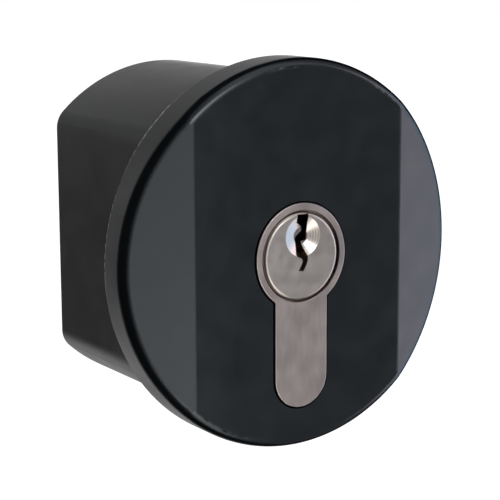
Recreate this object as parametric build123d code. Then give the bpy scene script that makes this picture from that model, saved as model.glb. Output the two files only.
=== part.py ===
from build123d import *
import os
from math import radians, sqrt, tan

# Outside lock for a panic exit device: a round faceted plate on a drum with two flats, which
# holds a profile half cylinder and the rotor that the cylinder's cam turns.
# Millimetres. X points right seen from outside, Y points into the door, Z is up.
# The origin is the centre of the face that lies on the door, on the cylinder's plug axis.

# Outer form
drive_room = 12.7
plate_dia = 62.0
plate_rim_depth = 7.4
band_width = 39.2
band_ridge_r = 3.0
facet_angle = 10.0
plate_edge_r = 1.6
rim_back_edge_r = 0.4
drum_dia = 56.5
drum_across_flats = 41.5
drum_corner_r = 4.0
drum_wall = 3.0
drum_front_wall = 3.5
plate_web = 5.0
back_plate_thickness = 3.5

# Clearances
socket_gap = 0.1
aperture_gap = 0.25
bracket_gap = 0.15
back_plate_gap = 0.15
plug_gap = 0.05
pin_gap = 0.05
screw_gap = 0.05
rotor_gap = 0.1
bush_gap = 0.02
face_gap = 0.15
through_gap = 0.3
touch = 0.01

# Profile half cylinder
profile_head_dia = 17.0
profile_height = 33.0
profile_leg_width = 10.0
cylinder_length = 30.0
cylinder_proud = 0.2
cylinder_edge_r = 0.2
plug_dia = 13.0
plug_head_lip = 0.6
plug_head_depth = 1.2
plug_edge_r = 0.65
plug_head_groove = 0.2
bore_bevel = 0.1
dish_radius = 3.25
dish_depth = 0.7
dish_floor_radius = 1.3
dish_x = 0.25
dish_z = 3.15
keyway_end = 6.0
keyway_mouth_drop = 0.4
keyway_corners = [
    (-0.8, 5.4),
    (0.3, 4.7),
    (0.4, 4.0),
    (-0.55, 3.3),
    (-0.85, 2.85),
    (-0.8, 2.2),
    (-0.85, 1.35),
    (-1.0, 0.35),
    (-0.8, 0.0),
    (0.1, -0.4),
    (0.2, -0.9),
    (-0.1, -1.5),
    (-0.55, -2.3),
    (0.35, -2.4),
    (0.85, -1.6),
    (1.2, -0.8),
    (1.2, -0.05),
    (0.9, 0.55),
    (0.5, 1.45),
    (0.3, 2.3),
    (1.3, 2.45),
    (1.4, 4.1),
    (1.3, 5.3),
]

# Pin stacks
pin_count = 5
first_pin_depth = 4.6
pin_pitch = 3.9
chamber_dia = 3.0
chamber_top = 0.3
key_pin_tips = [-2.1, -1.3, -1.8, -1.0, -1.6]
key_pin_tip_r = 0.45
key_pin_tip_height = 0.9
key_pin_inset = 0.2
driver_pin_length = 5.0
driver_pin_inset = 0.07
driver_waist_r = 1.15
driver_land = 1.2
pin_chamfer = 0.3
spring_wire = 0.3
chamber_plug_height = 1.5
chamber_plug_inset = 0.3
chamber_plug_gap = 0.01

# Cylinder fixing
fixing_screw_inset = 4.5
fixing_screw_z = -20.0
fixing_screw_dia = 5.0
fixing_screw_head_dia = 6.6
fixing_screw_socket = 3.0

# Plug tail, cam and circlip
tail_dia = 9.0
tail_flats = 7.0
cam_thickness = 3.8
cam_hub_lip = 1.1
cam_nose_width = 8.0
cam_reach = 15.25
circlip_groove_dia = 7.8
circlip_outer_dia = 12.0
circlip_thickness = 0.8
circlip_opening = 3.2
tail_end_land = 0.4

# Rotor and bush
rotor_rim = 1.75
rotor_disc_thickness = 2.5
rotor_hub_dia = 16.0
rotor_finger_width = 3.0
rotor_finger_height = 6.0
rotor_hub_inset = 0.4
spindle_square = 8.1
spindle_socket_depth = 5.9
bush_wall = 1.5
bush_flange_width = 1.9
bush_flange_thickness = 1.0

# Drum posts and the screws from behind
post_dia = 8.0
post_sink = 0.75
post_ear_gap = 0.45
door_thread_dia = 4.2
door_thread_depth = 20.0
door_screw_clearance_dia = 5.5
cover_screw_dia = 3.0
cover_screw_head_dia = 5.6
cover_screw_length = 12.0
cover_screw_socket = 2.0

# Bracket and the screws of the front plate
bracket_side_gap = 0.25
bracket_post_gap = 0.53
bracket_base = 2.5
bracket_corner_r = 2.0
bracket_ear = 3.0
bracket_ear_drop = 0.5
bracket_ear_room = 0.3
bracket_ear_overhang = 0.8
plate_screw_dia = 4.0
plate_screw_wall_gap = 0.75
plate_screw_z = 9.0
plate_screw_bite = 3.6
hole_end_gap = 0.1
plate_screw_head_dia = 7.0
plate_screw_head_height = 2.6
plate_screw_socket = 3.0
socket_depth = 1.6
screw_chamfer = 0.4

# Stations along Y, worked out from the sizes above
overall_depth = cylinder_length - cylinder_proud + drive_room
front_y = -overall_depth
rim_back_y = front_y + plate_rim_depth
drum_front_y = front_y + plate_web
drum_inner_y = drum_front_y + drum_front_wall
bracket_back_y = drum_inner_y + bracket_base
cylinder_front_y = front_y - cylinder_proud
cylinder_back_y = cylinder_front_y + cylinder_length
cam_front_y = cylinder_back_y + face_gap
cam_back_y = cam_front_y + cam_thickness
circlip_front_y = cam_back_y + screw_gap
circlip_back_y = circlip_front_y + circlip_thickness
tail_back_y = circlip_back_y + tail_end_land
back_plate_front_y = -back_plate_thickness
bush_flange_y = back_plate_front_y - bush_flange_thickness
rotor_back_y = bush_flange_y - rotor_gap
rotor_front_y = rotor_back_y - rotor_disc_thickness
finger_front_y = cam_front_y + face_gap
ear_back_y = cylinder_back_y - bracket_ear_overhang

# Radii and heights that several pieces share
drum_inner_r = drum_dia / 2 - drum_wall
drum_inner_half = drum_across_flats / 2 - drum_wall
plug_head_dia = plug_dia + 2 * plug_head_lip
keyway_mouth_z = plug_head_dia / 2 - keyway_mouth_drop
plug_r = plug_dia / 2
bore_r = plug_r + plug_gap
chamber_r = chamber_dia / 2
pin_r = chamber_r - pin_gap
leg_half = profile_leg_width / 2
foot_centre_z = -(profile_height - profile_head_dia / 2 - leg_half)
foot_bottom_z = foot_centre_z - leg_half
chamber_plug_bottom = foot_bottom_z + chamber_plug_inset
chamber_plug_top = chamber_plug_bottom + chamber_plug_height
key_pin_bottom = -(plug_r - key_pin_inset)
driver_top = -(bore_r + driver_pin_inset)
driver_bottom = driver_top - driver_pin_length
pin_stations = [cylinder_front_y + first_pin_depth + pin_pitch * i for i in range(pin_count)]
fixing_y = cylinder_back_y - fixing_screw_inset
post_circle_r = drum_inner_r - post_dia / 2 + post_sink
ear_outer_x = leg_half + bracket_gap + bracket_ear
post_x = ear_outer_x + post_ear_gap + post_dia / 2
post_z = sqrt(post_circle_r**2 - post_x**2)
post_places = [(sx * post_x, sz * post_z) for sx in (-1, 1) for sz in (-1, 1)]
door_places = [(x, z) for x, z in post_places if x * z < 0]
cover_places = [(x, z) for x, z in post_places if x * z > 0]
plate_screw_x = drum_inner_half - plate_screw_wall_gap - plate_screw_head_dia / 2
plate_screw_places = [
    (sx * plate_screw_x, sz * plate_screw_z) for sx in (-1, 1) for sz in (-1, 1)
]


def slab(outline, front, back):
    """An outline drawn in X and Z, carried along Y from front to back."""
    plane = Plane(origin=(0, back, 0), x_dir=(1, 0, 0), z_dir=(0, -1, 0))
    return extrude(plane * outline, amount=back - front)


def round_bar(radius, x, z, front, back):
    """A round bar along Y."""
    return slab(Pos(x, z) * Circle(radius), front, back)


def upright_bar(radius, y, bottom, top):
    """A round bar along Z on the plug's middle plane."""
    return Pos(0, y, (bottom + top) / 2) * Cylinder(radius, top - bottom)


def cross_bar(radius, y, z, left, right):
    """A round bar along X."""
    return Pos((left + right) / 2, y, z) * Rot(0, 90, 0) * Cylinder(radius, right - left)


def turned(*points):
    """A turned piece on the Z axis, from its half outline as pairs of radius and height."""
    outline = make_face(Polyline(*points, close=True))
    return revolve(Plane.XZ * outline, Axis.Z)


def edges_at(shape, y):
    """The edges of a shape that lie in one plane across Y."""
    return [e for e in shape.edges() if abs((e @ 0).Y - y) < touch and abs((e @ 0.5).Y - y) < touch]


def profile_outline(gap=0.0):
    """The section of the half cylinder: a round head over a narrow leg with a round foot."""
    head = Circle(profile_head_dia / 2 + gap)
    leg = Pos(0, foot_centre_z / 2) * Rectangle(2 * (leg_half + gap), -foot_centre_z)
    foot = Pos(0, foot_centre_z) * Circle(leg_half + gap)
    return head + leg + foot


def drum_outline(inset, corner_r):
    """The drum's section, a circle cut by two upright flats, moved inwards by the inset."""
    circle = Circle(drum_dia / 2 - inset)
    block = Rectangle(drum_across_flats - 2 * inset, drum_dia)
    outline = circle & block
    return fillet(outline.vertices(), corner_r)


def tail_outline(gap=0.0):
    """The plug's tail, round with two flats, which carries the cam."""
    return Circle(tail_dia / 2 + gap) & Rectangle(tail_flats + 2 * gap, 2 * tail_dia)


def socket_cap(thread_r, length, head_r, head_height, socket):
    """A socket head screw, head up, with its seat at the origin."""
    body = turned(
        (0, -length),
        (thread_r - screw_chamfer, -length),
        (thread_r, -length + screw_chamfer),
        (thread_r, 0),
        (head_r, 0),
        (head_r, head_height - screw_chamfer),
        (head_r - screw_chamfer, head_height),
        (0, head_height),
    )
    recess = extrude(RegularPolygon(socket / 2, 6, major_radius=False), amount=socket_depth)
    return body - Pos(0, 0, head_height - socket_depth) * recess


def countersunk(thread_r, length, head_r, socket):
    """A countersunk socket screw, head up, with the top of its head at the origin."""
    body = turned(
        (0, -length),
        (thread_r - screw_chamfer, -length),
        (thread_r, -length + screw_chamfer),
        (thread_r, thread_r - head_r),
        (head_r, 0),
        (0, 0),
    )
    recess = extrude(RegularPolygon(socket / 2, 6, major_radius=False), amount=socket_depth)
    return body - Pos(0, 0, -socket_depth) * recess


def countersink(head_r, hole_r, depth):
    """The hole that a countersunk screw sits in, with its mouth at the origin."""
    seat = head_r - hole_r
    return turned((0, -depth), (hole_r, -depth), (hole_r, -seat), (head_r, 0), (0, 0))


def facing_back(x, y, z):
    """Turns a screw so that its head points along +Y."""
    return Pos(x, y, z) * Rot(-90, 0, 0)


def facing_left(x, y, z):
    """Turns a screw so that its head points along -X."""
    return Pos(x, y, z) * Rot(0, -90, 0)


def front_plate():
    """The round plate: a flat upright band between two facets that slope back, and a rounded rim."""
    r = plate_dia / 2
    half_band = band_width / 2
    facet_drop = (r - half_band) * tan(radians(facet_angle))
    plan = Polyline(
        (-r, rim_back_y),
        (-r, front_y + facet_drop),
        (-half_band, front_y),
        (half_band, front_y),
        (r, front_y + facet_drop),
        (r, rim_back_y),
        close=True,
    )
    disc = Rot(0, 270, 0) * round_bar(r, 0, 0, front_y, rim_back_y)
    plate = extrude(make_face(plan), amount=r, both=True) & disc
    ridges = [e for e in edges_at(plate, front_y) if e.geom_type == GeomType.LINE]
    plate = fillet(ridges, band_ridge_r)
    round_edges = [e for e in plate.edges() if e.geom_type != GeomType.LINE]
    plate = fillet([e for e in round_edges if (e @ 0.5).Y < rim_back_y - touch], plate_edge_r)
    plate = fillet(edges_at(plate, rim_back_y), rim_back_edge_r)
    plate -= slab(drum_outline(-socket_gap, drum_corner_r), drum_front_y, rim_back_y)
    plate -= slab(profile_outline(aperture_gap), front_y, drum_front_y)
    for x, z in plate_screw_places:
        hole_end_y = drum_front_y - plate_screw_bite - hole_end_gap
        plate -= round_bar(plate_screw_dia / 2, x, z, hole_end_y, drum_front_y)
    return plate


def housing_drum():
    """The drum behind the plate: an open-backed shell with four posts and the cylinder's opening."""
    inner = drum_outline(drum_wall, drum_corner_r)
    drum = slab(drum_outline(0, drum_corner_r), drum_front_y, 0)
    drum -= slab(inner, drum_inner_y, 0)
    for x, z in post_places:
        post = round_bar(post_dia / 2, x, z, drum_inner_y, back_plate_front_y)
        drum += post & slab(drum_outline(drum_wall / 2, drum_corner_r), drum_inner_y, 0)
    drum -= slab(profile_outline(aperture_gap), drum_front_y, drum_inner_y)
    thread_end_y = back_plate_front_y - door_thread_depth
    for x, z in door_places:
        drum -= round_bar(door_thread_dia / 2, x, z, thread_end_y, back_plate_front_y)
    for x, z in cover_places:
        hole_end_y = -cover_screw_length - hole_end_gap
        drum -= round_bar(cover_screw_dia / 2, x, z, hole_end_y, back_plate_front_y)
    for x, z in plate_screw_places:
        drum -= round_bar(plate_screw_dia / 2 + through_gap, x, z, drum_front_y, drum_inner_y)
    return drum


def back_plate():
    """The steel plate that closes the drum on the door side and carries the rotor's bush."""
    inset = drum_wall + back_plate_gap
    plate = slab(drum_outline(inset, drum_corner_r), back_plate_front_y, 0)
    plate -= round_bar(bush_outer_r() + bush_gap, 0, 0, back_plate_front_y, 0)
    for x, z in door_places:
        plate -= round_bar(door_screw_clearance_dia / 2, x, z, back_plate_front_y, 0)
    head_r = cover_screw_head_dia / 2 + screw_gap
    hole = countersink(head_r, cover_screw_dia / 2 + through_gap, 2 * back_plate_thickness)
    for x, z in cover_places:
        plate -= facing_back(x, 0, z) * hole
    return plate


def bush_outer_r():
    """The outer radius of the bush's sleeve."""
    return rotor_hub_dia / 2 + rotor_gap + bush_wall


def cylinder_body():
    """The half cylinder's body, bored for the plug, the pin chambers and the fixing screw."""
    body = slab(profile_outline(), cylinder_front_y, cylinder_back_y)
    body = fillet(edges_at(body, cylinder_front_y), cylinder_edge_r)
    body -= round_bar(bore_r, 0, 0, cylinder_front_y, cylinder_back_y)
    head_r = plug_head_dia / 2 + plug_head_groove
    body -= round_bar(head_r, 0, 0, cylinder_front_y, cylinder_front_y + plug_head_depth + plug_gap)
    bevel = turned((0, 0), (head_r, 0), (head_r + bore_bevel, bore_bevel), (0, bore_bevel))
    body -= Pos(0, cylinder_front_y + bore_bevel, 0) * Rot(90, 0, 0) * bevel
    for y in pin_stations:
        body -= upright_bar(chamber_r, y, foot_bottom_z, -plug_r)
    body -= cross_bar(fixing_screw_dia / 2, fixing_y, fixing_screw_z, -leg_half, leg_half)
    return body


def cylinder_plug():
    """The plug that the key turns, with its keyway, key dish, pin chambers and flatted tail."""
    plug = round_bar(plug_head_dia / 2, 0, 0, cylinder_front_y, cylinder_front_y + plug_head_depth)
    plug = fillet(edges_at(plug, cylinder_front_y), plug_edge_r)
    plug += round_bar(plug_r, 0, 0, cylinder_front_y + plug_head_depth, cylinder_back_y)
    plug += slab(tail_outline(), cylinder_back_y, tail_back_y)
    groove = Circle(tail_dia) - Circle(circlip_groove_dia / 2)
    plug -= slab(groove, circlip_front_y, circlip_back_y)
    dish = turned((0, 0), (dish_floor_radius, 0), (dish_radius, dish_depth), (0, dish_depth))
    plug -= Pos(dish_x, cylinder_front_y + dish_depth, dish_z) * Rot(90, 0, 0) * dish
    mouth = [(keyway_corners[-1][0], keyway_mouth_z), (keyway_corners[0][0], keyway_mouth_z)]
    keyway = make_face(Polyline(*keyway_corners, *mouth, close=True))
    plug -= slab(keyway, cylinder_front_y, cylinder_back_y - keyway_end)
    for y in pin_stations:
        plug -= upright_bar(chamber_r, y, -plug_head_dia, chamber_top)
    return plug


def key_pin(top):
    """A key pin: flat where it meets the shear line, pointed where it rides on the key."""
    return turned(
        (0, key_pin_bottom),
        (pin_r - pin_chamfer, key_pin_bottom),
        (pin_r, key_pin_bottom + pin_chamfer),
        (pin_r, top - key_pin_tip_height),
        (key_pin_tip_r, top),
        (0, top),
    )


def driver_pin():
    """A driver pin with a narrow waist, which catches a pick."""
    return turned(
        (0, driver_bottom),
        (pin_r, driver_bottom),
        (pin_r, driver_bottom + driver_land),
        (driver_waist_r, driver_bottom + driver_land),
        (driver_waist_r, driver_top - driver_land),
        (pin_r, driver_top - driver_land),
        (pin_r, driver_top - pin_chamfer),
        (driver_waist_r, driver_top),
        (0, driver_top),
    )


def pin_spring():
    """The room that a pin's coil spring takes up, a sleeve as thick as its wire."""
    outer = pin_r - pin_gap
    inner = outer - spring_wire
    return turned(
        (inner, chamber_plug_top),
        (outer, chamber_plug_top),
        (outer, driver_bottom),
        (inner, driver_bottom),
    )


def chamber_plug():
    """The small plug that closes a pin chamber under its spring."""
    r = chamber_r - chamber_plug_gap
    return upright_bar(r, 0, chamber_plug_bottom, chamber_plug_top)


def cam():
    """The cam on the plug's tail, with its nose down where the key goes in and out."""
    nose = Pos(0, -cam_reach / 2) * Rectangle(cam_nose_width, cam_reach)
    outline = Circle(plug_r + cam_hub_lip) + (nose & Circle(cam_reach))
    return slab(outline - tail_outline(plug_gap), cam_front_y, cam_back_y)


def cam_circlip():
    """The ring that keeps the cam on the tail."""
    ring = Circle(circlip_outer_dia / 2) - Circle(circlip_groove_dia / 2 + screw_gap)
    opening = Pos(0, circlip_outer_dia / 2) * Rectangle(circlip_opening, circlip_outer_dia)
    return slab(ring - opening, circlip_front_y + screw_gap / 2, circlip_back_y - screw_gap / 2)


def drive_rotor():
    """The rotor: a disc whose two fingers take the cam's nose, and a hub with a square socket."""
    disc_r = cam_reach + rotor_rim
    rotor = round_bar(disc_r, 0, 0, rotor_front_y, rotor_back_y)
    rotor += round_bar(rotor_hub_dia / 2, 0, 0, rotor_back_y, -rotor_hub_inset)
    finger_x = cam_nose_width / 2 + face_gap + rotor_finger_width / 2
    finger_z = -(disc_r - rotor_finger_height / 2)
    for side in (-1, 1):
        finger = Pos(side * finger_x, finger_z) * Rectangle(rotor_finger_width, rotor_finger_height)
        rotor += slab(finger & Circle(disc_r), finger_front_y, rotor_front_y)
    socket_front = -rotor_hub_inset - spindle_socket_depth
    return rotor - slab(Rectangle(spindle_square, spindle_square), socket_front, 0)


def rotor_bush():
    """The flanged plastic bush that the rotor turns in."""
    inner = rotor_hub_dia / 2 + rotor_gap
    bush = round_bar(bush_outer_r(), 0, 0, back_plate_front_y, -rotor_hub_inset)
    bush += round_bar(bush_outer_r() + bush_flange_width, 0, 0, bush_flange_y, back_plate_front_y)
    return bush - round_bar(inner, 0, 0, bush_flange_y, 0)


def cylinder_bracket():
    """The steel bracket behind the drum's front wall, with two ears that grip the cylinder's leg."""
    base_half = post_z - post_dia / 2 - bracket_post_gap
    base = Rectangle(2 * (drum_inner_half - bracket_side_gap), 2 * base_half)
    base = fillet(base.vertices(), bracket_corner_r)
    bracket = slab(base, drum_inner_y, bracket_back_y)
    ear_x = ear_outer_x - bracket_ear / 2
    ear_top = -(profile_head_dia / 2 + bracket_ear_drop)
    ear_bottom = -sqrt((drum_inner_r - bracket_ear_room) ** 2 - ear_outer_x**2)
    for side in (-1, 1):
        ear = Pos(side * ear_x, (ear_top + ear_bottom) / 2) * Rectangle(bracket_ear, ear_top - ear_bottom)
        bracket += slab(ear, drum_inner_y, ear_back_y)
    bracket -= slab(profile_outline(bracket_gap), drum_inner_y, ear_back_y)
    for x, z in plate_screw_places:
        bracket -= round_bar(plate_screw_dia / 2 + through_gap, x, z, drum_inner_y, bracket_back_y)
    hole = countersink(fixing_screw_head_dia / 2 + screw_gap, fixing_screw_dia / 2, 2 * ear_outer_x)
    return bracket - facing_left(-ear_outer_x, fixing_y, fixing_screw_z) * hole


def cylinder_fixing_screw():
    """The screw across the leg that holds the half cylinder in its bracket."""
    length = 2 * ear_outer_x - through_gap
    thread_r = fixing_screw_dia / 2 - screw_gap
    screw = countersunk(thread_r, length, fixing_screw_head_dia / 2, fixing_screw_socket)
    return facing_left(-ear_outer_x, fixing_y, fixing_screw_z) * screw


def front_plate_screws():
    """Four screws from inside, through the bracket and the drum into the front plate."""
    length = bracket_base + drum_front_wall + plate_screw_bite
    thread_r = plate_screw_dia / 2 - screw_gap
    head_r = plate_screw_head_dia / 2
    screw = socket_cap(thread_r, length, head_r, plate_screw_head_height, plate_screw_socket)
    return [facing_back(x, bracket_back_y, z) * screw for x, z in plate_screw_places]


def back_plate_screws():
    """Two countersunk screws that hold the back plate on the drum's posts."""
    thread_r = cover_screw_dia / 2 - screw_gap
    screw = countersunk(thread_r, cover_screw_length, cover_screw_head_dia / 2, cover_screw_socket)
    return [facing_back(x, 0, z) * screw for x, z in cover_places]


def write(name, *shapes):
    """Writes one node, a single solid or a group of like ones."""
    shape = shapes[0] if len(shapes) == 1 else Compound(children=list(shapes))
    export_step(shape, f"parts/{name}.step")


os.makedirs("parts", exist_ok=True)
write("front_plate", front_plate())
write("housing_drum", housing_drum())
write("back_plate", back_plate())
write("cylinder_body", cylinder_body())
write("cylinder_plug", cylinder_plug())
write("cam", cam())
write("cam_circlip", cam_circlip())
write("drive_rotor", drive_rotor())
write("rotor_bush", rotor_bush())
write("cylinder_bracket", cylinder_bracket())
write("cylinder_fixing_screw", cylinder_fixing_screw())
write("front_plate_screws", *front_plate_screws())
write("back_plate_screws", *back_plate_screws())
write("chamber_plugs", *[Pos(0, y, 0) * chamber_plug() for y in pin_stations])
for number, (y, tip) in enumerate(zip(pin_stations, key_pin_tips), start=1):
    write(f"key_pin_{number}", Pos(0, y, 0) * key_pin(tip))
    write(f"driver_pin_{number}", Pos(0, y, 0) * driver_pin())
    write(f"pin_spring_{number}", Pos(0, y, 0) * pin_spring())
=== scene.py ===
"""Finishes, pin springs, stage and camera for an outside lock of a panic exit door.

The packed model is the fixed frame, in metres: X right seen from outside, Y into the door, Z up.
"""

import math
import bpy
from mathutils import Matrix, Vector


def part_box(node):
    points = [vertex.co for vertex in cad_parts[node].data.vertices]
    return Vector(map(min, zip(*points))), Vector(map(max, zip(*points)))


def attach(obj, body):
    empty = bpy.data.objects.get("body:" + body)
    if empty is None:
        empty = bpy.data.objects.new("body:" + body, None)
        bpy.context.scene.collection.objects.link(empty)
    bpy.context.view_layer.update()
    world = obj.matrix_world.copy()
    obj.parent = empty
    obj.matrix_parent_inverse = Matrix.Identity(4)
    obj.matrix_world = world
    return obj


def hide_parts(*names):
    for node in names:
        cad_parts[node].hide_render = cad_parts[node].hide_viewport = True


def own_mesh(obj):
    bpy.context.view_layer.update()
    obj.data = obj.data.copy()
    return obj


bl_info = {
    "name": "Outside Lock Finishes",
    "version": (1, 0, 0),
    "blender": (4, 5, 0),
    "location": "3D View > Sidebar > Outside Lock",
    "description": "Gives an outside lock its finishes, its pin springs, a stage and a camera",
    "category": "Material",
}

import bpy
import numpy as np
from bpy.props import FloatProperty, FloatVectorProperty, IntProperty, PointerProperty
from bpy.types import Operator, Panel, PropertyGroup
from mathutils import Matrix, Vector

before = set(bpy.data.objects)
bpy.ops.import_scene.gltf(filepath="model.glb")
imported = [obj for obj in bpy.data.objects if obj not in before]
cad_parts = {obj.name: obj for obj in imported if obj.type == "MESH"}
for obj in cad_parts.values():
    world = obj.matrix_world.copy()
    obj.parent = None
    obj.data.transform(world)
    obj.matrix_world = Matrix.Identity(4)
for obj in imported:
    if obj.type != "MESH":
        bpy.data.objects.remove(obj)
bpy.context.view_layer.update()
MM = 0.001
PIN_NUMBERS = range(1, 6)

# A Mix node's sockets go by number, because those for colours and for numbers share their names
FACTOR = 0
COLOUR_A, COLOUR_B, COLOUR_OUT = 6, 7, 2
NUMBER_A, NUMBER_B = 2, 3

# Most of a noise texture's values lie between these two
NOISE_LOW, NOISE_HIGH = 0.3, 0.7
# A wave texture at a scale of 1 repeats after this many units
WAVE_REPEAT = math.pi / 10

METAL = {"Metallic": 1.0}
COAT_IOR = 1.5
NYLON_SOCKETS = {
    "IOR": 1.53,
    "Subsurface Weight": 0.25,
    "Subsurface Radius": (1.0, 0.8, 0.5),
    "Subsurface Scale": 1.0 * MM,
}

# The closed end turns of a spring rise by this many wire thicknesses, so that they don't touch
END_TURN_RISE = 1.02

# The picture's side in pixels and the camera's sensor width in millimetres
FRAME_PX = 500
SENSOR_MM = 36.0
CLIP_START, CLIP_END = 0.01, 100.0

FLOOR_HALF = 15.0
STAGE_PATCH = 0.3
ROOM_STRENGTH = 0.7
# The floor is lifted by this much to white where it is seen
FLOOR_LIFT = 0.5

LAMP_DISTANCE = 1.0
# Cards stand at one of these distances from the object, and a nearer one hides one behind it
FAR, MIDDLE, FRONT, BESIDE = 0.75, 0.72, 0.71, 0.09
# Points along each side of a card
CARD_POINTS = 25

BLACK = "#040404"
DARK_GREY = "#101112"
WHITE = "#ffffff"
COOL_WHITE = "#f2faff"
PALE_VIOLET = "#eff1ff"
WARM_WHITE = "#fffaf6"

# Name, azimuth, elevation, width, height, radiance, colour
SOFTBOXES = (
    ("right_softbox", 67, -6, 0.6, 1.0, 1.48, PALE_VIOLET),
    ("overhead_softbox", -6, 73, 0.4, 0.3, 5.0, WHITE),
    ("back_softbox", 180, 60, 0.8, 0.4, 1.2, WHITE),
)

# Name, first and last azimuth, first and last elevation, colour, strength, distance
CARDS = (
    # Black flags, for the dark edges and the band's dark face
    ("flag_above", (-180, 180), (68, 90), BLACK, 1.0, FAR),
    ("flag_below", (-180, 180), (-90, -62), DARK_GREY, 1.0, FAR),
    ("flag_camera_side", (-128, -24), (-62, 69), BLACK, 1.0, FAR),
    ("flag_right_behind", (85, 140), (-62, 69), BLACK, 1.0, FAR),
    ("flag_behind_high", (140, 232), (50, 69), BLACK, 1.0, FAR),
    # Screens in front, for the left facet, the cylinder and the key dish
    ("screen_edge_dim", (-24, -10), (-62, 22), COOL_WHITE, 0.2, FAR),
    ("screen_edge_lit", (-10, 3), (-62, 22), COOL_WHITE, 0.8, FAR),
    ("screen_edge_high", (-24, 0), (22, 69), COOL_WHITE, 0.5, FAR),
    ("screen_front_low", (3, 24), (-62, -10), COOL_WHITE, 1.9, FAR),
    ("screen_front", (3, 24), (-10, 28), "#eef8ff", 1.45, FAR),
    ("screen_front_deep", (-4, 16), (-42, -24), WHITE, 3.2, MIDDLE),
    ("screen_front_high", (0, 17), (8, 28), COOL_WHITE, 5.5, MIDDLE),
    ("screen_top", (0, 52), (28, 69), COOL_WHITE, 1.1, FAR),
    # Screens at the right, for the band's face, the right facet and the dish's other side
    ("screen_centre", (24, 49), (-62, 28), "#e6f4ff", 0.26, FAR),
    ("screen_right", (49, 62), (-33, 28), "#f6f3ff", 2.65, FAR),
    ("screen_right_blue", (62, 85), (-33, 21), "#c0deff", 1.95, FAR),
    ("screen_right_high", (52, 85), (21, 69), PALE_VIOLET, 0.4, FAR),
    ("screen_right_low", (49, 85), (-62, -33), PALE_VIOLET, 0.3, FAR),
    # Screens behind, for the drum's round parts, and for the rim's lower side and back edge
    ("screen_behind", (140, 232), (8, 50), WHITE, 0.38, FAR),
    ("screen_behind_low", (140, 204), (-62, 8), WHITE, 0.42, FAR),
    ("screen_behind_edge", (140, 172), (-20, 7), WHITE, 0.9, MIDDLE),
    ("screen_rim_line", (172, 187), (-18, 4), WHITE, 0.7, MIDDLE),
    ("screen_rim_line_high", (161, 177), (5, 17), WHITE, 4.6, FRONT),
    ("screen_rim_low", (178, 204), (-56, -24), WHITE, 0.66, MIDDLE),
    # Screens at the left, for the drum's flat, and a near card for the rim's side beside it
    ("screen_left_high", (-156, -128), (-6, 8), WARM_WHITE, 0.28, FAR),
    ("screen_left", (-156, -128), (-20, -6), WARM_WHITE, 0.13, FAR),
    ("screen_left_low", (-156, -128), (-62, -20), WARM_WHITE, 0.32, FAR),
    ("card_beside_rim", (-127, -119), (-34, 42), WHITE, 0.66, BESIDE),
)


def linear(hex_code):
    """Turns an sRGB hex colour into linear red, green, blue and alpha."""
    values = [int(hex_code[i : i + 2], 16) / 255 for i in (1, 3, 5)]
    return [v / 12.92 if v <= 0.04045 else ((v + 0.055) / 1.055) ** 2.4 for v in values] + [1.0]


def colour(name, hex_code, description):
    """A colour setting whose default is an sRGB hex value."""
    return FloatVectorProperty(
        name=name,
        description=description,
        subtype="COLOR",
        size=4,
        min=0,
        max=1,
        default=linear(hex_code),
    )


def length(name, millimetres, description):
    """A length setting, kept in metres and written here in millimetres."""
    return FloatProperty(
        name=name, description=description, unit="LENGTH", precision=6, default=millimetres * MM
    )


def angle(name, degrees, description):
    """An angle setting, kept in radians and written here in degrees."""
    return FloatProperty(
        name=name, description=description, subtype="ANGLE", default=math.radians(degrees)
    )


def share(name, default, description):
    """A setting from 0 to 1."""
    return FloatProperty(
        name=name, description=description, subtype="FACTOR", min=0, max=1, default=default
    )


class CoatSettings(PropertyGroup):
    """Powder coat"""

    body: colour("Coat", "#070b0e", "Colour of the powder coat")
    cloud: colour("Cloud", "#0a0f12", "Colour of the faint clouds in the powder coat")
    roughness: share("Roughness", 0.22, "Mean roughness of the coat")
    peel: length("Orange peel", 1.1, "Distance between the swells of the flowed coat")
    peel_height: length("Peel height", 0.003, "Height of the swells")
    cloud_size: length("Cloud size", 14.0, "Size of the clouds where the coat is a little duller")


class PlatingSettings(PropertyGroup):
    """Nickel plating"""

    face: colour("Nickel", "#b3a39c", "Colour of the satin nickel on the cylinder's body")
    plug: colour("Plug nickel", "#b6a9a0", "Colour of the nickel on the turned plug")
    roughness: share("Roughness", 0.30, "Mean roughness of the plating")
    grain: length("Grain", 0.5, "Distance between the lines of the ground face")
    grain_length: length("Grain length", 2.0, "Length of the ground lines")
    feed: length("Feed", 0.5, "Distance between the turned rings of the plug's face")
    dish_feed: length("Dish feed", 0.42, "Distance between the turned rings of the key dish")
    dish_ring_height: length("Dish ring height", 0.006, "Height of the key dish's turned rings")
    dish_roughness: share("Dish roughness", 0.2, "Roughness of the plating in the key dish")
    dish_x: length("Dish X", 0.25, "Place of the key dish to the right of the plug's axis")
    dish_z: length("Dish Z", 3.15, "Height of the key dish over the plug's axis")
    dish_radius: length("Dish radius", 3.25, "Radius of the key dish")


class HardwareSettings(PropertyGroup):
    """Metals and plastic behind the front plate"""

    zinc: colour("Zinc", "#b6babf", "Colour of the zinc plated sheet")
    zinc_tint: colour("Zinc tint", "#c3c0ae", "Yellowish tint in the passivated zinc")
    screw: colour("Screws", "#8f9399", "Colour of the zinc plated screws")
    brass: colour("Brass", "#c8a45a", "Colour of the turned brass pins")
    pin_steel: colour("Pin steel", "#9fa1a4", "Colour of the hardened driver pins")
    sinter: colour("Sintered steel", "#77787a", "Colour of the cam's sintered steel")
    rotor: colour("Machined steel", "#a9acb1", "Colour of the rotor's machined and plated steel")
    spring: colour("Spring wire", "#a4a6aa", "Colour of the drawn spring wire")
    nylon: colour("Nylon", "#dbd6c6", "Colour of the natural nylon bush")


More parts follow.
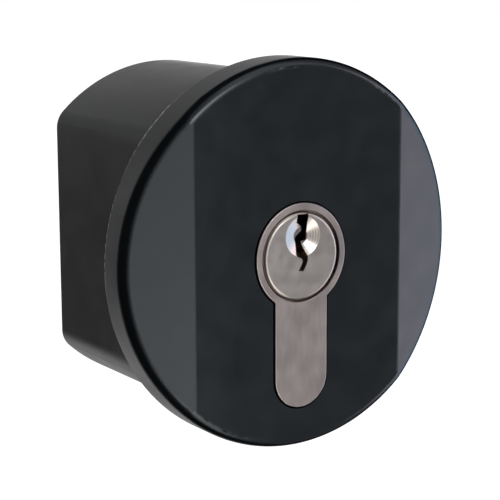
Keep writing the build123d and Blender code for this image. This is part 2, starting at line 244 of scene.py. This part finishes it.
class SpringSettings(PropertyGroup):
    """Pin springs"""

    wire: length("Wire", 0.3, "Diameter of the spring wire")
    turns: FloatProperty(
        name="Turns", description="Turns of each spring, with its two closed ends", default=11.0
    )
    steps: IntProperty(
        name="Steps per turn", description="Sections of wire along one turn", default=24, min=8
    )
    sides: IntProperty(
        name="Sides", description="Sides of the wire's section", default=10, min=6
    )


class StageSettings(PropertyGroup):
    """Stage and camera"""

    azimuth: angle("Azimuth", 33.29, "Heading of the camera's view from +Y to +X")
    elevation: angle("Elevation", 10.83, "Height of the camera over the object")
    roll: angle("Roll", -0.2, "Turn of the camera round its view")
    distance: length("Distance", 244.7, "From the camera to the aim")
    aim: FloatVectorProperty(
        name="Aim",
        description="Point that the middle of the picture shows",
        subtype="TRANSLATION",
        default=(-0.00954, -0.0425, 0.00203),
    )
    focal_px: FloatProperty(
        name="Focal length", description="Focal length in pixels of the picture", default=1595.4
    )
    floor_drop: length("Floor drop", 800.0, "From the object's axis down to the floor")
    floor: colour("Floor", "#f2f2f1", "Colour of the pale floor")
    room: colour("Room", WHITE, "Colour of the light that the room throws on the object")
    background: colour("Background", WHITE, "Colour behind the object")


def add_node(tree, kind, inputs=None, **settings):
    """Adds one node with its settings.

    An input is a value, an output to link, or a node whose first output is linked."""
    node = tree.nodes.new(kind)
    for name, value in settings.items():
        setattr(node, name, value)
    for name, value in (inputs or {}).items():
        if isinstance(value, bpy.types.Node):
            tree.links.new(value.outputs[0], node.inputs[name])
        elif isinstance(value, bpy.types.NodeSocket):
            tree.links.new(value, node.inputs[name])
        else:
            node.inputs[name].default_value = value
    return node


def blank_material(name):
    """A new material, returned with its empty node tree and the object's own coordinates."""
    material = bpy.data.materials.new(name)
    material.use_nodes = True
    tree = material.node_tree
    tree.nodes.clear()
    return material, tree, add_node(tree, "ShaderNodeTexCoord").outputs["Object"]


def darker(base, factor):
    """A linear colour times a factor."""
    return [c * factor for c in base[:3]] + [1.0]


def patches(tree, place, size, low=0.0, high=1.0, detail=2.0, stretch=(1.0, 1.0, 1.0)):
    """Soft irregular patches of a size in metres, whose values run from low to high."""
    scale = [1 / (size * s) for s in stretch]
    mapped = add_node(tree, "ShaderNodeMapping", {"Vector": place, "Scale": scale})
    noise_inputs = {"Vector": mapped, "Scale": 1.0, "Detail": detail}
    noise = add_node(tree, "ShaderNodeTexNoise", noise_inputs)
    spread = {"From Min": NOISE_LOW, "From Max": NOISE_HIGH, "To Min": low, "To Max": high}
    return add_node(tree, "ShaderNodeMapRange", {"Value": noise, **spread})


def tool_marks(
    tree, place, pitch, low=0.0, high=1.0, axis="Y", kind="RINGS", centre=(0.0, 0.0, 0.0)
):
    """Marks that a tool leaves a pitch apart, as rings round an axis through the centre or as
    bands along it."""
    moved = add_node(
        tree, "ShaderNodeMapping", {"Vector": place, "Location": [-c for c in centre]}
    )
    wave = add_node(
        tree,
        "ShaderNodeTexWave",
        {"Vector": moved, "Scale": WAVE_REPEAT / pitch},
        wave_type=kind,
        rings_direction=axis,
        bands_direction=axis,
    )
    inputs = {"Value": wave.outputs["Fac"], "To Min": low, "To Max": high}
    return add_node(tree, "ShaderNodeMapRange", inputs)


def finished(material, pattern, colours, rough, height, depth, sockets):
    """Ends a material and returns it.

    The pattern mixes the two colours, rough is the roughness, the height raises the surface by
    up to the depth, and the sockets are other values of the shader."""
    tree = material.node_tree
    mix_inputs = {FACTOR: pattern, COLOUR_A: colours[0], COLOUR_B: colours[1]}
    tone = add_node(tree, "ShaderNodeMix", mix_inputs, data_type="RGBA").outputs[COLOUR_OUT]
    bump_inputs = {"Height": height, "Strength": 1.0, "Distance": depth}
    relief = add_node(tree, "ShaderNodeBump", bump_inputs)
    inputs = {"Base Color": tone, "Roughness": rough, "Normal": relief, **sockets}
    shader = add_node(tree, "ShaderNodeBsdfPrincipled", inputs)
    add_node(tree, "ShaderNodeOutputMaterial", {"Surface": shader})
    return material


def powder_coat(s):
    """Black polyester powder coat, baked on cast zinc alloy.

    The eye sees soft-edged reflections that waver with the flowed coat, and no grain."""
    material, tree, place = blank_material("black_powder_coat_baked")
    clouds = patches(tree, place, s.cloud_size, detail=3.0)
    low, high = s.roughness - 0.03, s.roughness + 0.03
    rough = patches(tree, place, size=s.cloud_size / 3, low=low, high=high, detail=3.0)
    peel = patches(tree, place, s.peel, detail=1.0)
    colours = list(s.body), list(s.cloud)
    sockets = {"IOR": COAT_IOR}
    return finished(material, clouds, colours, rough, peel, depth=s.peel_height, sockets=sockets)


def satin_nickel(s):
    """Satin nickel plating over ground brass.

    The eye sees a warm grey metal with a soft even sheen and faint short upright lines. They are
    drawn three times as coarse as the belt leaves them, so that they show."""
    material, tree, place = blank_material("satin_nickel_ground")
    stretch = (1.0, 1.0, s.grain_length / s.grain)
    lines = patches(tree, place, s.grain, detail=0.0, stretch=stretch)
    low, high = s.roughness - 0.02, s.roughness + 0.03
    rough = patches(tree, place, size=3.0 * MM, low=low, high=high, detail=0.0)
    colours = darker(s.face, 0.92), list(s.face)
    return finished(material, lines, colours, rough, lines, depth=0.0004 * MM, sockets=METAL)


def turned_nickel(s):
    """Nickel plating on the turned plug.

    The eye sees a smooth face, and in the key dish bright wedges and stripes that the rings
    spread. The rings are drawn twice as coarse as the tool leaves them, so that they show."""
    material, tree, place = blank_material("nickel_turned")
    face_rings = tool_marks(tree, place, s.feed, high=0.1)
    dish_rings = tool_marks(tree, place, s.dish_feed, centre=(s.dish_x, 0.0, s.dish_z))
    # The distance from the dish's axis says whether a point is inside the dish
    flat = {"Vector": place, "Location": (-s.dish_x, 0.0, -s.dish_z), "Scale": (1.0, 0.0, 1.0)}
    moved = add_node(tree, "ShaderNodeMapping", flat)
    reach = add_node(tree, "ShaderNodeVectorMath", {0: moved}, operation="LENGTH")
    limits = {0: reach.outputs["Value"], 1: s.dish_radius}
    inside = add_node(tree, "ShaderNodeMath", limits, operation="LESS_THAN")
    clouds = patches(tree, place, size=1.8 * MM, detail=1.0)
    low, high = s.roughness - 0.02, s.roughness + 0.03
    plain = patches(tree, place, size=1.8 * MM, low=low, high=high, detail=1.0)
    roughs = {FACTOR: inside, NUMBER_A: plain, NUMBER_B: s.dish_roughness}
    rough = add_node(tree, "ShaderNodeMix", roughs, data_type="FLOAT")
    heights = {FACTOR: inside, NUMBER_A: face_rings, NUMBER_B: dish_rings}
    height = add_node(tree, "ShaderNodeMix", heights, data_type="FLOAT")
    colours = darker(s.plug, 0.95), list(s.plug)
    depth = s.dish_ring_height
    return finished(material, clouds, colours, rough, height, depth=depth, sockets=METAL)


def zinc_sheet(s):
    """Zinc plated steel sheet with clear passivation.

    The eye sees a pale grey with faint yellow clouds and the sheet's rolled grain."""
    material, tree, place = blank_material("zinc_plated_sheet")
    clouds = patches(tree, place, size=6.0 * MM, high=0.7, detail=3.0)
    rolled = (16.0, 1.0, 1.0)
    grain = patches(tree, place, size=0.25 * MM, low=0.30, high=0.44, detail=3.0, stretch=rolled)
    colours = list(s.zinc), list(s.zinc_tint)
    return finished(material, clouds, colours, grain, grain, depth=0.008 * MM, sockets=METAL)


def spotted_metal(name, base, roughness, spot, depth, contrast=0.85):
    """A matt metal whose colour, roughness and height all follow one fine pattern of spots."""
    material, tree, place = blank_material(name)
    spots = patches(tree, place, spot, detail=3.0)
    low, high = roughness + 0.07, roughness - 0.05
    rough = patches(tree, place, spot, low=low, high=high, detail=3.0)
    colours = darker(base, contrast), list(base)
    return finished(material, spots, colours, rough, spots, depth=depth, sockets=METAL)


def turned_metal(name, base, roughness, pitch, axis, kind="BANDS"):
    """A turned metal, whose feed marks catch the light as fine bands or rings."""
    material, tree, place = blank_material(name)
    marks = tool_marks(tree, place, pitch, axis=axis, kind=kind)
    low, high = roughness - 0.05, roughness + 0.07
    rough = tool_marks(tree, place, pitch, low=low, high=high, axis=axis, kind=kind)
    stains = patches(tree, place, size=1.5 * MM, detail=3.0)
    colours = darker(base, 0.85), list(base)
    return finished(material, stains, colours, rough, marks, depth=0.0015 * MM, sockets=METAL)


def nylon(s):
    """Moulded natural nylon.

    The eye sees a waxy cream plastic that lets a little light in, with a faint mould texture."""
    material, tree, place = blank_material("nylon_moulded")
    clouds = patches(tree, place, size=4.0 * MM)
    texture = patches(tree, place, size=0.2 * MM, low=0.38, high=0.5)
    colours = darker(s.nylon, 0.92), list(s.nylon)
    depth = 0.015 * MM
    return finished(material, clouds, colours, texture, texture, depth, NYLON_SOCKETS)


def finish_nodes(material, names):
    """Puts a material on CAD nodes."""
    for name in names:
        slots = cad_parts[name].material_slots
        if not slots:
            raise RuntimeError(f"node {name} has no material slot")
        for slot in slots:
            slot.material = material


def mesh_object(name, points, faces, material, smooth=True):
    """A mesh object at the origin from arrays of points and faces."""
    mesh = bpy.data.meshes.new(name)
    mesh.from_pydata(points.tolist(), [], faces)
    mesh.validate()
    mesh.polygons.foreach_set("use_smooth", np.full(len(mesh.polygons), smooth))
    mesh.materials.append(material)
    mesh.update()
    piece = bpy.data.objects.new(name, mesh)
    bpy.context.scene.collection.objects.link(piece)
    return piece


def coil_surface(bottom, top, y, mean_r, wire_r, turns, steps, sides):
    """A round wire carried along a helix with two closed end turns.

    Along the wire the heading is turns times a full turn, and the height rises by about one
    wire thickness over the first turn and over the last, and evenly between. Round the wire
    each point is the centre plus the wire's radius times the cosine of the section's angle
    outwards and the sine of it along the binormal.
    """
    count = int(turns * steps) + 1
    t = np.linspace(0.0, turns, count)
    low, high = bottom + wire_r, top - wire_r
    rise = 2 * wire_r * END_TURN_RISE
    knots = [0.0, 1.0, turns - 1.0, turns]
    height = np.interp(t, knots, [low, low + rise, high - rise, high])
    heading = 2 * np.pi * t
    outward = np.stack([np.cos(heading), np.sin(heading), np.zeros(count)], 1)
    centre = mean_r * outward + np.stack([np.zeros(count), np.full(count, y), height], 1)
    tangent = np.gradient(centre, axis=0)
    tangent /= np.linalg.norm(tangent, axis=1)[:, None]
    binormal = np.cross(tangent, outward)
    v = np.linspace(0.0, 2 * np.pi, sides, endpoint=False)
    points = (
        centre[:, None, :]
        + wire_r * np.cos(v)[None, :, None] * outward[:, None, :]
        + wire_r * np.sin(v)[None, :, None] * binormal[:, None, :]
    )
    i, j = np.meshgrid(np.arange(count - 1), np.arange(sides), indexing="ij")
    k = (j + 1) % sides
    quads = np.stack([i * sides + j, i * sides + k, (i + 1) * sides + k, (i + 1) * sides + j], -1)
    faces = quads.reshape(-1, 4).tolist()
    faces.append(list(range(sides))[::-1])
    faces.append(list(range((count - 1) * sides, count * sides)))
    return points.reshape(-1, 3), faces


class OUTSIDELOCK_OT_coat(Operator):
    """Gives the front plate and the drum their powder coat"""

    bl_idname = "outside_lock.coat"
    bl_label = "Coat Plate and Drum"

    def execute(self, context):
        finish_nodes(powder_coat(context.scene.lock_coat), ["front_plate", "housing_drum"])
        return {"FINISHED"}


class OUTSIDELOCK_OT_plate_cylinder(Operator):
    """Gives the half cylinder and its plug their nickel plating"""

    bl_idname = "outside_lock.plate_cylinder"
    bl_label = "Plate Half Cylinder"

    def execute(self, context):
        s = context.scene.lock_plating
        finish_nodes(satin_nickel(s), ["cylinder_body"])
        finish_nodes(turned_nickel(s), ["cylinder_plug"])
        return {"FINISHED"}


class OUTSIDELOCK_OT_sheet_and_screws(Operator):
    """Gives the back plate, the bracket and the screws their zinc plating"""

    bl_idname = "outside_lock.sheet_and_screws"
    bl_label = "Plate Sheet and Screws"

    def execute(self, context):
        s = context.scene.lock_hardware
        finish_nodes(zinc_sheet(s), ["back_plate", "cylinder_bracket"])
        # Forged and zinc plated: a mid grey with a fine crystal grain, drawn about twice as
        # coarse as it is, so that it shows
        screw_steel = spotted_metal(
            "zinc_plated_screw_steel", s.screw, roughness=0.3, spot=0.5 * MM, depth=0.0015 * MM
        )
        screws = ["front_plate_screws", "back_plate_screws", "cylinder_fixing_screw"]
        finish_nodes(screw_steel, screws)
        return {"FINISHED"}


class OUTSIDELOCK_OT_drive(Operator):
    """Gives the cam, its circlip, the rotor and the bush their finishes"""

    bl_idname = "outside_lock.drive"
    bl_label = "Finish Drive"

    def execute(self, context):
        s = context.scene.lock_hardware
        # Pressed and sintered: a dull dark grey, peppered with fine pores
        sintered = spotted_metal(
            "steel_sintered",
            s.sinter,
            roughness=0.48,
            spot=0.18 * MM,
            depth=0.004 * MM,
            contrast=0.7,
        )
        finish_nodes(sintered, ["cam"])
        # Stamped from rolled spring steel: a fairly bright grey with faint stains
        stamped = spotted_metal(
            "spring_steel_stamped", s.spring, roughness=0.26, spot=0.4 * MM, depth=0.001 * MM
        )
        finish_nodes(stamped, ["cam_circlip"])
        # Faced on a lathe and zinc plated: rings round the socket, drawn about twice as coarse
        # as the tool leaves them, so that they show
        faced = turned_metal(
            "steel_faced_and_plated",
            s.rotor,
            roughness=0.28,
            pitch=0.6 * MM,
            axis="Y",
            kind="RINGS",
        )
        finish_nodes(faced, ["drive_rotor"])
        finish_nodes(nylon(s), ["rotor_bush"])
        return {"FINISHED"}


class OUTSIDELOCK_OT_pins(Operator):
    """Gives the pins and the chamber plugs their turned metals"""

    bl_idname = "outside_lock.pins"
    bl_label = "Finish Pins"

    def execute(self, context):
        s = context.scene.lock_hardware
        # Turned from bar: a golden metal with the fine feed marks of the lathe
        brass = turned_metal(
            "brass_turned", s.brass, roughness=0.24, pitch=0.18 * MM, axis="Z"
        )
        finish_nodes(brass, ["chamber_plugs"] + [f"key_pin_{i}" for i in PIN_NUMBERS])
        # Turned and hardened: a neutral grey with the same feed marks
        steel = turned_metal(
            "steel_hardened_turned", s.pin_steel, roughness=0.22, pitch=0.18 * MM, axis="Z"
        )
        finish_nodes(steel, [f"driver_pin_{i}" for i in PIN_NUMBERS])
        return {"FINISHED"}


class OUTSIDELOCK_OT_springs(Operator):
    """Winds a coil in place of each spring sleeve and fixes it to the housing"""

    bl_idname = "outside_lock.springs"
    bl_label = "Wind Pin Springs"

    def execute(self, context):
        s = context.scene.lock_springs
        spring_colour = context.scene.lock_hardware.spring
        # Drawn through a die: a bright wire with fine marks
        wire = turned_metal(
            "spring_wire_drawn", spring_colour, roughness=0.24, pitch=0.12 * MM, axis="Z"
        )
        wire_r = s.wire / 2
        for i in PIN_NUMBERS:
            node = f"pin_spring_{i}"
            low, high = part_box(node)
            y = (low.y + high.y) / 2
            mean_r = (high.x - low.x) / 2 - wire_r
            points, faces = coil_surface(
                low.z, high.z, y, mean_r, wire_r, s.turns, s.steps, s.sides
            )
            coil = mesh_object(f"pin_coil_{i}", points, faces, wire)
            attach(coil, "housing")
            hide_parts(node)
            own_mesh(coil)
        return {"FINISHED"}


def look_matrix(position, forward, roll=0.0):
    """A placing matrix whose -Z looks forward, with X level and then turned by the roll."""
    right = forward.cross(Vector((0, 0, 1))).normalized()
    up = right.cross(forward)
    turned_right = right * math.cos(roll) + up * math.sin(roll)
    turned_up = up * math.cos(roll) - right * math.sin(roll)
    axes = Matrix((turned_right, turned_up, -forward)).transposed().to_4x4()
    return Matrix.Translation(position) @ axes


def direction(azimuth_deg, elevation_deg):
    """A direction from the object: azimuth 0 is the front, -Y, and 90 the right, +X."""
    a, e = math.radians(azimuth_deg), math.radians(elevation_deg)
    return Vector((math.sin(a) * math.cos(e), -math.cos(a) * math.cos(e), math.sin(e)))


def softbox(name, azimuth, elevation, width, height, radiance, hex_code):
    """An area lamp that faces the object. Its power is the radiance times pi times its area.

    Reflections show the cards in its place."""
    lamp = bpy.data.lights.new(name, "AREA")
    lamp.shape = "RECTANGLE"
    lamp.size, lamp.size_y = width, height
    lamp.energy = radiance * math.pi * width * height
    lamp.color = linear(hex_code)[:3]
    placed = bpy.data.objects.new(name, lamp)
    bpy.context.scene.collection.objects.link(placed)
    placed.visible_camera = placed.visible_glossy = False
    away = direction(azimuth, elevation)
    placed.matrix_world = look_matrix(away * LAMP_DISTANCE, -away)


def reflected_card(name, azimuths, elevations, hex_code, strength, distance):
    """A curved card that shows only in the object's reflections, as a black flag or a lit screen.

    It is part of a sphere round the object: each point lies at the distance, along the
    direction of an azimuth that runs from the first to the last and an elevation that does too."""
    material, tree, place = blank_material(name)
    low, high = 0.97 * strength, 1.03 * strength
    tone = patches(tree, place, STAGE_PATCH, low=low, high=high)
    glow = add_node(tree, "ShaderNodeEmission", {"Color": linear(hex_code), "Strength": tone})
    add_node(tree, "ShaderNodeOutputMaterial", {"Surface": glow})
    across = np.radians(np.linspace(*azimuths, CARD_POINTS))
    upwards = np.radians(np.linspace(*elevations, CARD_POINTS))
    a, e = np.meshgrid(across, upwards, indexing="ij")
    points = distance * np.stack([np.sin(a) * np.cos(e), -np.cos(a) * np.cos(e), np.sin(e)], -1)
    steps = np.arange(CARD_POINTS - 1)
    i, j = np.meshgrid(steps, steps, indexing="ij")
    corner = i * CARD_POINTS + j
    beyond = corner + CARD_POINTS
    faces = np.stack([corner, corner + 1, beyond + 1, beyond], -1).reshape(-1, 4)
    piece = mesh_object(name, points.reshape(-1, 3), faces.tolist(), material)
    piece.visible_camera = piece.visible_diffuse = False
    piece.visible_transmission = piece.visible_shadow = False


def seen_directly(tree):
    """1 for camera, glossy and transmission rays, and 0 for the rays that light a surface."""
    rays = add_node(tree, "ShaderNodeLightPath").outputs
    pair = {0: rays["Is Camera Ray"], 1: rays["Is Glossy Ray"]}
    first = add_node(tree, "ShaderNodeMath", pair, operation="MAXIMUM")
    pair = {0: first, 1: rays["Is Transmission Ray"]}
    return add_node(tree, "ShaderNodeMath", pair, operation="MAXIMUM")


class OUTSIDELOCK_OT_stage(Operator):
    """Builds the floor, the background, the lamps, the cards and the camera"""

    bl_idname = "outside_lock.stage"
    bl_label = "Build Stage"

    def execute(self, context):
        s = context.scene.lock_stage
        self.light_room(context.scene, s)
        self.lay_floor(s)
        self.set_lamps()
        self.set_camera(context.scene, s)
        context.scene.view_settings.view_transform = "Standard"
        return {"FINISHED"}

    def light_room(self, scene, s):
        """A room that lights the object softly and is white where it is seen."""
        world = bpy.data.worlds.new("white_room")
        world.use_nodes = True
        tree = world.node_tree
        tree.nodes.clear()
        soft_light = {"Color": list(s.room), "Strength": ROOM_STRENGTH}
        soft = add_node(tree, "ShaderNodeBackground", soft_light)
        white_wall = {"Color": list(s.background), "Strength": 1.0}
        white = add_node(tree, "ShaderNodeBackground", white_wall)
        mix = add_node(tree, "ShaderNodeMixShader", {0: seen_directly(tree), 1: soft, 2: white})
        add_node(tree, "ShaderNodeOutputWorld", {"Surface": mix})
        scene.world = world

    def lay_floor(self, s):
        """A wide pale floor: matt paint that keeps shadows, lifted to white where it is seen."""
        material, tree, place = blank_material("floor_matt_paint")
        clouds = patches(tree, place, STAGE_PATCH)
        tones = {FACTOR: clouds, COLOUR_A: darker(s.floor, 0.985), COLOUR_B: list(s.floor)}
        tone = add_node(tree, "ShaderNodeMix", tones, data_type="RGBA").outputs[COLOUR_OUT]
        paint = add_node(tree, "ShaderNodeBsdfDiffuse", {"Color": tone})
        factors = {0: seen_directly(tree), 1: FLOOR_LIFT}
        lift = add_node(tree, "ShaderNodeMath", factors, operation="MULTIPLY")
        glow_inputs = {"Color": list(s.background), "Strength": lift}
        glow = add_node(tree, "ShaderNodeEmission", glow_inputs)
        lifted = add_node(tree, "ShaderNodeAddShader", {0: paint, 1: glow})
        add_node(tree, "ShaderNodeOutputMaterial", {"Surface": lifted})
        corners = FLOOR_HALF * np.array([(-1, -1, 0), (1, -1, 0), (1, 1, 0), (-1, 1, 0)], float)
        corners[:, 2] = -s.floor_drop
        mesh_object("floor", corners, [[0, 1, 2, 3]], material, smooth=False)

    def set_lamps(self):
        """Softboxes light the object, and flags and lit screens show in its reflections.

        The near card stands so close that the rim's side mirrors it and the drum's flat
        doesn't, though both face the same way."""
        for settings in SOFTBOXES:
            softbox(*settings)
        for settings in CARDS:
            reflected_card(*settings)

    def set_camera(self, scene, s):
        """The camera stands so that the aim falls on the middle of the picture."""
        level = math.cos(s.elevation)
        forward = Vector(
            (math.sin(s.azimuth) * level, math.cos(s.azimuth) * level, -math.sin(s.elevation))
        )
        camera = bpy.data.cameras.new("camera")
        camera.sensor_width = SENSOR_MM
        camera.lens = s.focal_px * SENSOR_MM / FRAME_PX
        camera.clip_start, camera.clip_end = CLIP_START, CLIP_END
        placed = bpy.data.objects.new("camera", camera)
        scene.collection.objects.link(placed)
        placed.matrix_world = look_matrix(Vector(s.aim) - forward * s.distance, forward, s.roll)
        scene.camera = placed


STEPS = (
    OUTSIDELOCK_OT_coat,
    OUTSIDELOCK_OT_plate_cylinder,
    OUTSIDELOCK_OT_sheet_and_screws,
    OUTSIDELOCK_OT_drive,
    OUTSIDELOCK_OT_pins,
    OUTSIDELOCK_OT_springs,
    OUTSIDELOCK_OT_stage,
)
GROUPS = {
    "lock_coat": CoatSettings,
    "lock_plating": PlatingSettings,
    "lock_hardware": HardwareSettings,
    "lock_springs": SpringSettings,
    "lock_stage": StageSettings,
}


class OUTSIDELOCK_PT_panel(Panel):
    """Lists the lock's settings and steps"""

    bl_idname = "OUTSIDELOCK_PT_panel"
    bl_label = "Outside Lock"
    bl_space_type = "VIEW_3D"
    bl_region_type = "UI"
    bl_category = "Outside Lock"

    def draw(self, context):
        for step in STEPS:
            self.layout.operator(step.bl_idname)
        for name, group in GROUPS.items():
            box = self.layout.box()
            box.label(text=group.__doc__)
            settings = getattr(context.scene, name)
            for key in group.__annotations__:
                box.prop(settings, key)


def register():
    """Registers the settings, the steps and the panel."""
    for group in GROUPS.values():
        bpy.utils.register_class(group)
    for step in (*STEPS, OUTSIDELOCK_PT_panel):
        bpy.utils.register_class(step)
    for name, group in GROUPS.items():
        setattr(bpy.types.Scene, name, PointerProperty(type=group))


def unregister():
    """Takes back what register did."""
    for name in GROUPS:
        delattr(bpy.types.Scene, name)
    for step in (OUTSIDELOCK_PT_panel, *reversed(STEPS)):
        bpy.utils.unregister_class(step)
    for group in reversed(list(GROUPS.values())):
        bpy.utils.unregister_class(group)


def main():
    """Runs every step in order."""
    register()
    bpy.ops.outside_lock.coat()
    bpy.ops.outside_lock.plate_cylinder()
    bpy.ops.outside_lock.sheet_and_screws()
    bpy.ops.outside_lock.drive()
    bpy.ops.outside_lock.pins()
    bpy.ops.outside_lock.springs()
    bpy.ops.outside_lock.stage()


if __name__ == "__main__":
    main()
